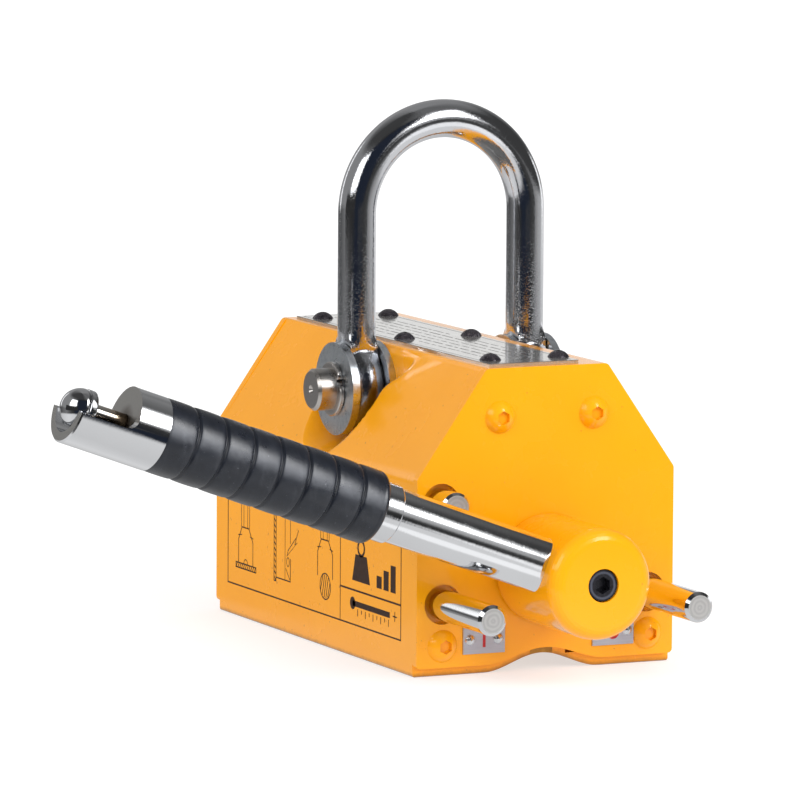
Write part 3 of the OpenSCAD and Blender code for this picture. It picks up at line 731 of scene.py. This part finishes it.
# ---- shackle
def shackle():
    """A round bar bent to a bow, its ends flattened to eyes whose rims bulge like a barrel."""
    eye_r = SHACKLE_HI.x
    eye_half, bulge, squareness, least = 5.2, 1.9, 0.86, 0.25
    fillet = 3.0  # between the eye and the bar
    segs = 64

    def leg_ring(h):
        """Points (across, through) of the leg's section at height h above the pin."""
        to_bar = smooth((h - 13.2) / 6.5)
        thick = eye_half * min(1.0, math.sqrt(max(eye_r + h, 0.02) / bulge))
        ring = []
        for k in range(segs):
            a = k * math.tau / segs
            u, v = math.cos(a), math.sin(a)
            grow = 1 + squareness * (1 - to_bar) * (1 / max(abs(u), abs(v)) - 1)
            u, v = u * grow, v * grow
            rim = eye_r - bulge * (v * thick / eye_half) ** 2
            width = math.sqrt(max(rim ** 2 - h ** 2, 0.0))
            if h > 0:
                width = max(width, BAR_R) + max(fillet - abs(width - BAR_R), 0) ** 2 / fillet / 4
            width = max(width, least) * (1 - to_bar) + BAR_R * to_bar
            ring.append((u * width, v * (thick * (1 - to_bar) + BAR_R * to_bar)))
        return ring

    round_bar = arc(0, 0, BAR_R, 0, 360 - 360 / segs, segs - 1)
    near_leg = []  # (centre, outward, points), eye to bow
    heights = [-eye_r * math.cos(math.radians(b)) for b in range(0, 120, 5)] + spread([(7.4, 21, 0.55)])
    for h in heights:
        near_leg.append((Vector((0, -LEG_Y, PIVOT_Z + h)), Vector((0, -1, 0)), leg_ring(h)))
    for z in spread([(PIVOT_Z + 26, BOW_Z, 8)]):
        near_leg.append((Vector((0, -LEG_Y, z)), Vector((0, -1, 0)), round_bar))
    bow = []
    for i in range(1, 64):
        a = math.pi - math.pi * i / 64
        out = Vector((0, math.cos(a), math.sin(a)))
        bow.append((Vector((0, 0, BOW_Z)) + out * LEG_Y, out, round_bar))
    far_leg = [(Vector((0, -c.y, c.z)), -out, points) for c, out, points in reversed(near_leg)]
    verts, rings = [], []
    for c, out, points in near_leg + bow + far_leg:
        rings.append(list(range(len(verts), len(verts) + segs)))
        verts += [c + Vector((u, 0, 0)) + out * v for u, v in points]
    faces = rings_to_faces(rings) + [rings[0][:], rings[-1][:]]
    ob = piece("shackle_bar", verts, faces, BAR_CHROME, SHACKLE, ("shackle",), 50)
    cut(ob, *lathe([(0, -50), (EYE_BORE_R, -50), (EYE_BORE_R, 50), (0, 50)], pin_place(1), 64), 50)
    return ob


# ---- rubber grip and thumb knob
def grip():
    """The rubber grip: swelling bands between ring grooves, rounded at its lower end."""
    s0, s1, r = reach("handle_grip", HUB_AT, OUT)
    inner, corner, swell, sink, half_groove, grooves = 9.7, 2.0, 0.10, 0.10, 0.62, 7
    groove_line = ((0.45, -0.42), (0.72, -0.22), (0.78, 0), (0.72, 0.22), (0.45, 0.42))
    pitch = (s1 - s0) / (grooves + 1)
    line = [(inner, s0), (r - corner, s0)] + arc(r - corner, s0 + corner, corner, -90, 0, 6)[1:]
    for i in range(grooves + 1):
        a, b = s0 + i * pitch, s0 + (i + 1) * pitch
        first = a + (half_groove if i else corner)
        last = b - (half_groove if i < grooves else 0.0)
        for t in (0.0, 0.04, 0.10, 0.2, 0.35, 0.5, 0.65, 0.8, 0.90, 0.96, 1.0):
            if i == 0 and t == 0.0:
                continue
            roll = sink * ((1 - min(t / 0.06, 1)) if i else 0) + sink * (1 - min((1 - t) / 0.06, 1))
            line.append((r - swell + swell * math.sin(math.pi * t) - roll, first + (last - first) * t))
        if i < grooves:
            line += [(r - deep, b + along) for deep, along in groove_line]
    line.append((inner, s1))
    verts, faces = lathe(line, HANDLE, 96, closed=True)
    return piece("rubber_grip", verts, faces, RUBBER, ROTOR, ("handle_grip",), 60)


def knob():
    """The thumb knob: a dished foot, a short cylinder and a domed end."""
    s0, s1, r = reach("lock_knob", HUB_AT, OUT)
    neck = ROD_R + 0.05
    ball = r - 0.15
    c = s1 - ball
    line = [(0, s0 + 0.9), (neck - 0.4, s0 + 0.9), (neck, s0 + 0.55), (neck + 0.6, s0 + 0.12)]
    line.append((r - 1.1, s0))
    line += arc(r - 0.6, s0 + 0.6, 0.6, -75, 0, 4) + [(r, s0 + 1.6), (r, c - 1.0)]
    line += arc(r - 0.35, c - 1.0, 0.35, 20, 80, 2) + [(ball - 0.30, c - 0.55), (ball - 0.12, c - 0.25)]
    dome = [math.radians(a) for a in (3, 8, 14, 21, 28, 35, 42, 49, 56, 63, 69, 75, 80, 84, 88)]
    line += [(ball * math.cos(a), c + ball * math.sin(a)) for a in dome] + [(0, s1)]
    verts, faces = lathe(line, HANDLE, 72)
    return piece("thumb_knob", verts, faces, CHROME, LOCK, ("lock_knob",), 40)


# ---- retaining clips
def clips():
    """Two open spring rings with rounded ends in the pin's grooves."""
    groove_r, outer, steps = 5.85, 9.0, 72
    start, sweep = 30, 342  # degrees from the front, over the top
    y0 = min(abs(v.co.y) for v in NODES["retaining_clips"].data.vertices) / MM
    y1 = box("retaining_clips")[1].y
    mid, half_t = (y0 + y1) / 2, (y1 - y0) / 2 - 0.02
    centre = (groove_r + outer) / 2
    section = [(1, -0.55), (1, 0.55), (0.82, 0.9), (0.55, 1), (-0.8, 1), (-1, 0.8)]
    section += [(-1, -0.8), (-0.8, -1), (0.55, -1), (0.82, -0.9)]
    solids = []
    for side in (-1, 1):
        verts, rings = [], []
        for i in range(steps + 1):
            a = math.radians(start + sweep * i / steps)
            to_end = min(i, steps - i)
            taper = 1.0 - 0.65 * (1 - math.sqrt(max(0, 1 - (1 - min(to_end / 4, 1)) ** 2)))
            broad = 0.35 * math.exp(-((to_end - 5) / 4) ** 2)
            w = ((outer - groove_r) / 2 + broad * 0.4) * taper
            rings.append(list(range(len(verts), len(verts) + len(section))))
            for u, v in section:
                r = centre + u * w
                verts.append((r * math.cos(a), side * (mid + v * half_t), PIVOT_Z + r * math.sin(a)))
        solids.append((verts, rings_to_faces(rings) + [rings[0][:], rings[-1][:]]))
    v, f = join(*solids)
    return piece("spring_clips", v, f, PIN_STEEL, BODY, ("retaining_clips",), 35)


# ---- printed marks
def oval(cx, cy, rx, ry, n):
    angles = [k * math.tau / n for k in range(n)]
    return [(cx + rx * math.cos(a), cy + ry * math.sin(a)) for a in angles]


class Print:
    """Thin printed marks on a flat face: strokes and filled shapes, each a closed film."""

    def __init__(self, place, thick, sunk=0.02):
        self.place, self.top, self.low = place, thick, -sunk
        self.solids = []

    def fill(self, outline):
        n = len(outline)
        verts = [self.place(u, v, h) for h in (self.low, self.top) for u, v in outline]
        faces = [list(range(n)), list(range(2 * n - 1, n - 1, -1))]
        faces += [[k, (k + 1) % n, n + (k + 1) % n, n + k] for k in range(n)]
        self.solids.append((verts, faces))

    def stroke(self, pts, w, closed=False):
        n = len(pts)
        left, right = [], []
        for i, p in enumerate(pts):
            before = pts[i - 1] if i or closed else None
            after = pts[(i + 1) % n] if i < n - 1 or closed else None
            d0 = Vector(p) - Vector(before) if before else Vector(after) - Vector(p)
            d1 = Vector(after) - Vector(p) if after else d0
            d0, d1 = d0.normalized(), d1.normalized()
            t = (d0 + d1).normalized() if (d0 + d1).length > 1e-6 else d0
            reach_out = w / 2 / max(t.dot(d0), 0.35)
            nrm = Vector((-t.y, t.x)) * reach_out
            left.append((p[0] + nrm.x, p[1] + nrm.y))
            right.append((p[0] - nrm.x, p[1] - nrm.y))
        if not closed:
            self.fill(left + right[::-1])
            return
        lines = [(h, side) for h in (self.low, self.top) for side in (left, right)]
        verts = [self.place(u, v, h) for h, side in lines for u, v in side]
        faces = []
        for k in range(n):
            j = (k + 1) % n
            faces += [[k, j, n + j, n + k], [2 * n + k, 3 * n + k, 3 * n + j, 2 * n + j],
                      [k, 2 * n + k, 2 * n + j, j], [n + k, n + j, 3 * n + j, 3 * n + k]]
        self.solids.append((verts, faces))

    def ring(self, cx, cy, rx, ry, w, n=28):
        self.stroke(oval(cx, cy, rx, ry, n), w, closed=True)

    def make(self, name, material):
        v, f = join(*self.solids)
        return piece(name, v, f, material, BODY)


def side_label():
    """Ruled frame with three pictograms and two cells of generic symbols on the near side of the body."""
    p = Print(lambda u, v, h: (u, -(HALF_W + h), v), 0.04)
    left, right, low, high, divide, shelf = -71.0, 69.0, 10.8, 56.0, 21.6, 22.2
    bold, line, fine = 0.62, 0.42, 0.30
    p.stroke([(left, low), (right, low), (right, high), (left, high)], bold * 0.8, True)
    p.stroke([(divide, low), (divide, high)], line)
    p.stroke([(divide, shelf), (right, shelf)], bold)

    def magnet(cx, foot):
        """Outline of a lifting magnet standing on foot, with its lifting bar."""
        outline = [(-6, 0), (-6, 8), (-3.2, 12.4), (2.6, 12.4), (6, 8), (6, 0)]
        p.stroke([(cx + u, foot + v) for u, v in outline], line)
        for d in (-3.6, -1.6, 1.6, 3.2):
            p.stroke([(cx + d, foot + 12.4), (cx + d, foot + 22)], fine)
        p.stroke(arc(cx, foot + 22, 3.6, 180, 0, 10), fine)
        p.stroke(arc(cx, foot + 22, 1.6, 180, 0, 8), fine)
        p.stroke([(cx - 6.3, foot + 9.4), (cx - 3.2, foot + 9.8)], fine)
        p.stroke([(cx + 6.3, foot + 9.4), (cx + 3.6, foot + 9.8)], fine)

    def hatch_row(u0, v0, u1, v1, depth, step):
        """A plate seen in section: a thin bar filled with slanted strokes."""
        d = Vector((u1, v1)) - Vector((u0, v0))
        n = Vector((-d.y, d.x)).normalized() * depth
        p.stroke([(u0, v0), (u1, v1), (u1 + n.x, v1 + n.y), (u0 + n.x, v0 + n.y)], line, True)
        count = int(d.length / step)
        for i in range(count):
            a = Vector((u0, v0)) + d * ((i + 0.1) / count)
            b = Vector((u0, v0)) + d * ((i + 0.75) / count) + n
            p.stroke([(a.x, a.y), (b.x, b.y)], line)

    magnet(-56.0, 18.7)
    hatch_row(-64.2, 16.9, -47.4, 16.9, 1.7, 1.5)
    p.stroke(arc(-56, 18.7, 1.6, 180, 0, 8), fine)

    hatch_row(-30.6, 16.6, -30.6, 44, 1.7, 1.9)
    p.stroke([(-30.4, 17.8), (-18.8, 17.8), (-18.8, 25.5)], line)
    p.stroke([(-23.2, 17.8), (-23.2, 44)], fine)
    p.stroke([(-18.8, 30.5), (-18.8, 44), (-30.4, 44)], fine)
    # a plain arrow pressing the body onto the plate
    arrow = [(-12.2, 36.0), (-15.2, 30.8), (-13.2, 31.6), (-21.6, 26.2), (-20.6, 28.2), (-14.4, 33.0)]
    p.stroke(arrow, fine)
    p.ring(-20.8, 24.2, 1.1, 1.5, fine, 14)
    p.stroke([(-22.6, 21.8), (-19.2, 18.4)], fine)

    magnet(9.4, 23.2)
    bar_u, bar_v = 9.6, 20.2
    p.ring(bar_u, bar_v, 4.2, 4.3, line)
    for i in range(5):
        u = -2.9 + i * 1.45
        above = 3.8 * math.sqrt(max(0, 1 - ((u + 0.9) / 4.2) ** 2))
        below = 3.8 * math.sqrt(max(0, 1 - ((u - 0.9) / 4.2) ** 2))
        p.stroke([(bar_u + u - 0.9, bar_v - below), (bar_u + u + 0.9, bar_v + above)], line)

    # upper cell: a plain weight with its ring, and a row of load blocks
    p.fill([(31.0, 25.4), (45.0, 25.4), (42.4, 34.2), (33.6, 34.2)])
    p.ring(38.0, 36.6, 2.5, 2.5, 1.0, 20)
    for i in range(3):
        u = 50.2 + i * 5.4
        p.fill([(u, 25.4), (u + 3.9, 25.4), (u + 3.9, 29.4 + i * 2.4), (u, 29.4 + i * 2.4)])
    p.stroke([(27, 43), (64, 43)], bold)
    p.stroke([(27, 47), (64, 47)], bold)
    # lower cell: a lying thermometer with its scale, and a plus sign at its hot end
    scale_v = 17.8
    p.stroke([(31.5, scale_v), (60.5, scale_v)], 1.9)
    p.fill(oval(31.5, scale_v, 2.1, 2.1, 20))
    for i in range(9):
        u = 35.5 + i * 3.0
        p.stroke([(u, 14.9 if i % 2 else 13.9), (u, 16.2)], line)
    p.stroke([(64.4, 16.2), (64.4, 19.4)], line)
    p.stroke([(62.8, scale_v), (66.0, scale_v)], line)
    return p.make("side_label_near", INK)


def name_plate_marks():
    """Rows of plain dashes on the top plate."""
    lo, hi = box("name_plate")
    p = Print(lambda u, v, h: (u, v, hi.z + h), 0.02, 0.01)
    for row in range(6):
        v = lo.y + 6.6 + row * 3.6
        u = lo.x + 9
        while u < hi.x - 14:
            long = random.uniform(2.0, 8.5)
            near_screw = any(abs(u + long / 2 - s) < long / 2 + 5 for s in (-66, 0, 66))
            if not (near_screw and row in (0, 5)):
                p.stroke([(u, v), (u + long, v)], 0.55 if row in (1, 4) else 0.38)
            u += long + random.uniform(1.0, 2.2)
    left, right, low, high = lo.x + 2.2, hi.x - 2.2, lo.y + 1.6, hi.y - 1.6
    p.stroke([(left, low), (right, low), (right, high), (left, high)], 0.3, True)
    return p.make("name_plate_marks", GREYINK)


def marker_marks():
    """A red bar on the magnet-on marker and a red ring on the magnet-off marker."""
    lo, hi = box("on_marker_plate")
    mid_y, mid_z = (lo.y + hi.y) / 2, (lo.z + hi.z) / 2
    p = Print(lambda u, v, h: (hi.x + h, u, v), 0.04)
    tall = 2.3
    p.stroke([(mid_y, mid_z - tall), (mid_y, mid_z + tall)], 1.0)
    off_lo, off_hi = box("off_marker_plate")
    p.ring((off_lo.y + off_hi.y) / 2, mid_z, tall - 0.5, tall - 0.3, 0.9)
    return p.make("marker_symbols", RED)


# ---- stage
SOFT_BOX = 9.0  # brightness of the main soft box


def reflection_room():
    """A room seen only by mirror reflections: a pale table, a dark strip beyond it, a wide soft box
    in front and a dim ceiling. Polished metal needs light and dark fields to show its shape."""
    me = bpy.data.meshes.new("reflection_room")
    bm = bmesh.new()
    bmesh.ops.create_uvsphere(bm, u_segments=64, v_segments=32, radius=0.9)
    for v in bm.verts:
        v.co.z = max(v.co.z, -0.06)
    ob = placed("reflection_room", me, bm)
    t = Tree("room_light", emission=True)
    x, y, z = t.parts(t.co)
    az = t.math("MULTIPLY", t.math("ARCTAN2", y, x), 180 / math.pi)
    flat = t.math("SQRT", t.math("ADD", t.math("MULTIPLY", x, x), t.math("MULTIPLY", y, y)))
    el = t.math("MULTIPLY", t.math("ARCTAN2", t.math("SUBTRACT", z, 0.08), flat), 180 / math.pi)
    turn = t.fit(az, 0.0, 1.0, -180, 180)

    def round_wall(stops):
        return t.ramp(turn, [((d + 180) / 360, c) for d, c in stops])

    def edge(v, low, high, soft):
        """1 between low and high, fading over soft degrees."""
        rise = t.fit(v, 0.0, 1.0, low - soft / 2, low + soft / 2, True)
        fall = t.fit(v, 1.0, 0.0, high - soft / 2, high + soft / 2, True)
        return t.math("MULTIPLY", rise, fall)

    def panel(room, az_span, el_span, colour, soft=4.0, lean=0.0):
        """A lit or dark rectangle on the wall, slanted by lean degrees of azimuth per degree of height."""
        a = t.math("SUBTRACT", az, t.math("MULTIPLY", el, lean)) if lean else az
        m = t.math("MULTIPLY", edge(a, *az_span, soft), edge(el, *el_span, soft))
        return t.mix(m, room, (colour,) * 3 if isinstance(colour, (int, float)) else colour)

    table = round_wall([(-180, 0.50), (-140, 0.60), (-80, 0.80), (-50, 0.68), (0, 0.76), (60, 0.76),
                        (110, 0.66), (180, 0.50)])
    horizon = round_wall([(-180, 0.50), (-156, 0.42), (-144, 0.07), (-92, 0.20), (-80, 0.12), (-66, 0.05),
                          (-50, 0.022), (-16, 0.016), (6, 0.018), (18, 0.035), (30, 0.10), (44, 0.26),
                          (64, 0.42), (80, 0.45), (96, 0.60), (150, 0.85), (170, 0.80), (180, 0.50)])
    wall = round_wall([(-180, 0.30), (-166, 0.30), (-140, 0.27), (-86, 0.26), (-62, 0.16), (-44, 0.06),
                       (-34, 0.014), (6, 0.016), (12, 0.04), (40, 0.05), (104, 0.05), (126, 0.14),
                       (146, 0.30), (180, 0.30)])
    roof = round_wall([(-180, 0.24), (-140, 0.12), (-110, 0.055), (-10, 0.05), (20, 0.16), (60, 0.14),
                       (100, 0.20), (125, 0.26), (180, 0.26)])
    room = t.mix(t.fit(el, 0.0, 1.0, -15.0, -11.0, True), table, horizon)
    room = t.mix(t.fit(el, 0.0, 1.0, 2.0, 7.0, True), room, wall)
    room = t.mix(t.fit(el, 0.0, 1.0, 40, 56, True), room, roof)
    room = panel(room, (-54, 8), (-13.5, 46), (0.016, 0.021, 0.034), 8)  # dark studio behind the camera
    room = panel(room, (-178, -143), (-17, -9), 0.30, 3)
    room = panel(room, (-98, -40), (-2.3, 15), 0.03, 1.2)
    room = panel(room, (-174, -146), (-5.2, 3), 0.10, 2)
    room = panel(room, (-20, 38), (-2.6, 1.4), 0.05, 1.6)
    room = panel(room, (9, 46), (-26, -11), 1.05, 4)  # light on the table in front
    room = panel(room, (-14, 10), (-35, -25.5), 1.10, 4)
    room = panel(room, (17, 28), (7, 20), 0.42, 5)  # the soft box's dim lower lip
    # the main soft box: a dim frame, and the bright cloth in it
    span = t.math("SUBTRACT", az, t.math("MULTIPLY", t.math("SUBTRACT", el, 30.0), 0.35))
    for sides, ends, light, side_soft, end_soft in (((12.0, 39.0), (18, 51), 1.15, 10, 12),
                                                    ((18.0, 34.0), (22, 46), SOFT_BOX, 6, 8)):
        inside = t.math("MULTIPLY", edge(span, *sides, side_soft), edge(el, *ends, end_soft))
        room = t.mix(inside, room, (light,) * 3)
    room = panel(room, (-79, -47), (17, 41), 3.0, 8)  # second soft box
    room = panel(room, (-149, -139), (2, 34), 1.3, 6, lean=-0.36)  # edge of a side reflector
    room = panel(room, (94, 108), (-2, 17), 1.2, 5)
    room = panel(room, (126, 174), (-8, 13), 0.85, 5)
    t.to("Color", room)
    t.set(Strength=1.0)
    me.materials.append(t.material)
    ob.visible_camera = ob.visible_diffuse = ob.visible_shadow = False
    ob.visible_transmission = ob.visible_volume_scatter = False


def floor():
    """A wide pale floor that mirror reflections don't see."""
    me = bpy.data.meshes.new("floor")
    bm = bmesh.new()
    bmesh.ops.create_circle(bm, cap_ends=True, cap_tris=False, segments=96, radius=14.0)
    ob = placed("floor", me, bm)
    m = Tree("floor_white")
    m.set(Base_Color=(0.46, 0.46, 0.46, 1), Roughness=0.9, Specular_IOR_Level=0.0,
          Emission_Color=(1, 1, 1, 1), Emission_Strength=0.60)
    me.materials.append(m.material)
    ob.visible_glossy = False


GRIP_SHEEN = 3.8  # strength of the light on the rubber alone


def lights():
    """An even white sky, two soft suns, and a sheen that falls on the rubber grip only."""
    w = bpy.data.worlds.new("studio")
    SC.world = w
    w.use_nodes = True
    bg = w.node_tree.nodes["Background"]
    bg.inputs["Color"].default_value = (1, 1, 1, 1)
    bg.inputs["Strength"].default_value = 0.85
    # what the camera sees past the floor is pure white
    sky = w.node_tree.nodes.new("ShaderNodeBackground")
    sky.inputs["Strength"].default_value = 1.05
    path = w.node_tree.nodes.new("ShaderNodeLightPath")
    mix = w.node_tree.nodes.new("ShaderNodeMixShader")
    tree = w.node_tree.links
    tree.new(path.outputs["Is Camera Ray"], mix.inputs["Fac"])
    tree.new(bg.outputs[0], mix.inputs[1])
    tree.new(sky.outputs[0], mix.inputs[2])
    tree.new(mix.outputs[0], w.node_tree.nodes["World Output"].inputs["Surface"])

    def sun(name, azimuth, elevation, strength, spread_deg):
        d = bpy.data.lights.new(name, "SUN")
        d.energy, d.angle = strength, math.radians(spread_deg)
        o = bpy.data.objects.new(name, d)
        COL.objects.link(o)
        a, e = math.radians(azimuth), math.radians(elevation)
        to_light = Vector((math.cos(a) * math.cos(e), math.sin(a) * math.cos(e), math.sin(e)))
        o.rotation_mode = "QUATERNION"
        o.rotation_quaternion = to_light.to_track_quat("Z", "Y")
        o.visible_glossy = False
        return o

    sun("key", 25, 32, 1.70, 40)
    sun("side", -57, 27, 0.78, 50)
    sheen = sun("grip_sheen", 33, 18, GRIP_SHEEN, 28)
    sheen.visible_glossy = True
    sheen.data.color = (0.90, 0.93, 1.0)
    sheen.visible_diffuse = False
    only = bpy.data.collections.new("grip_only")
    only.objects.link(bpy.data.objects["rubber_grip"])
    sheen.light_linking.receiver_collection = only


def camera():
    """315 mm lens from the front left, a little above, shifted so that the object sits as photographed."""
    az, el, roll = math.radians(24.85), math.radians(6.98), math.radians(0.33)
    aim, distance, shift_right, shift_up = Vector((0, 0, 0.05)), 2.3329, -0.01325, 0.02872
    back = Vector((math.cos(az) * math.cos(el), -math.sin(az) * math.cos(el), math.sin(el)))
    right = Vector((math.sin(az), math.cos(az), 0))
    up = back.cross(right)
    r2 = right * math.cos(roll) + up * math.sin(roll)
    u2 = up * math.cos(roll) - right * math.sin(roll)
    d = bpy.data.cameras.new("cam")
    d.sensor_width = 36
    d.lens = 315
    d.clip_start, d.clip_end = 0.05, 40
    o = bpy.data.objects.new("cam", d)
    COL.objects.link(o)
    loc = aim + back * distance + r2 * shift_right + u2 * shift_up
    rot = Matrix((r2, u2, back)).transposed()
    o.matrix_world = Matrix.Translation(loc) @ rot.to_4x4()
    SC.camera = o


camera()
floor()
reflection_room()
SC.view_settings.view_transform = "Standard"
SC.view_settings.look = "None"

dress_nodes()
EDGE_WIDTHS = {
    0.6: ("front_end_plate", "rear_end_plate", "hub_screw"),
    0.5: ("handle_hub",),
    0.45: ("inner_washers", "outer_washers"),
    0.3: ("left_stop_pin", "right_stop_pin", "safety_pin", "lock_key"),
    0.25: ("end_plate_screws", "grip_sleeve", "name_plate", "name_plate_screws", "shackle_pin"),
    0.2: ("handle_tube",),
    0.18: ("on_marker_plate", "off_marker_plate"),
    0.15: ("marker_rivets", "lock_rod"),
}
for width, nodes in EDGE_WIDTHS.items():
    for node in nodes:
        soften(node, width)
pole_shoe("body_half_left", "left_pole_shoe", -1)
pole_shoe("body_half_right", "right_pole_shoe", 1)
shackle()
grip()
knob()
clips()
side_label()
name_plate_marks()
marker_marks()
lights()
